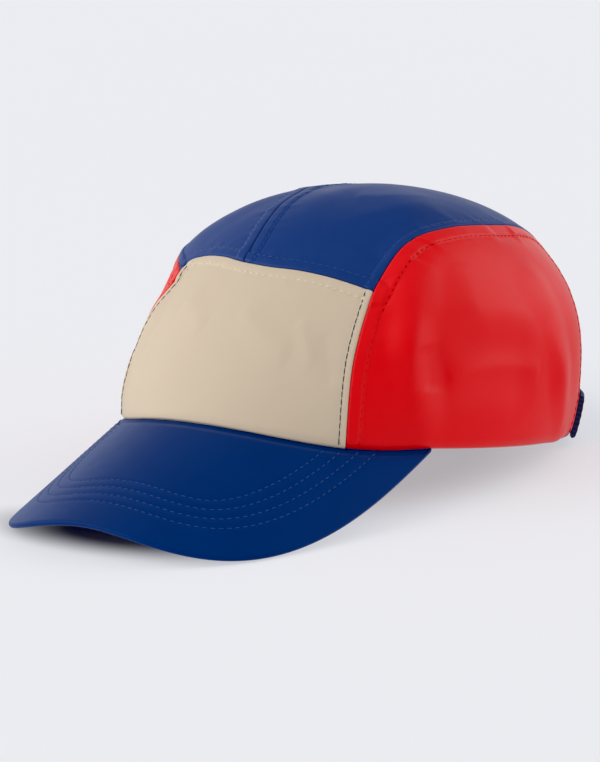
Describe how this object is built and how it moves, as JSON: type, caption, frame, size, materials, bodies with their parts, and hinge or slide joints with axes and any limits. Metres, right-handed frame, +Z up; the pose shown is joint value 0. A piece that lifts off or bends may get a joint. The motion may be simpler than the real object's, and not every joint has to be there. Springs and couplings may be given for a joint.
{
  "type": "dad hat",
  "caption": "Low curved-visor cloth cap: one-piece front panel, split top panel running down the back, side panels, stiff bent visor and a webbing strap with slider across an open back arch.",
  "frame": {"origin": "bottom centre of the cap's box, on the surface it rests on", "axes": "+Z up, the visor points to -Y, the wearer's left is +X"},
  "size_m": [0.1707, 0.2754, 0.1103],
  "materials": {
    "front_cloth": "matte coated cloth, sand",
    "top_cloth": "matte coated cloth, blue",
    "side_cloth": "matte coated cloth, red",
    "visor_cloth": "matte coated cloth over board, blue",
    "webbing": "ribbed nylon webbing, navy",
    "slider_plastic": "moulded, satin"
  },
  "bodies": {
    "root": {"front_panel": "front_cloth", "top_panel_left": "top_cloth", "top_panel_right": "top_cloth", "side_panel_left": "side_cloth", "side_panel_right": "side_cloth", "visor": "visor_cloth", "back_strap": "webbing", "strap_slider": "slider_plastic"}
  },
  "joints": []
}
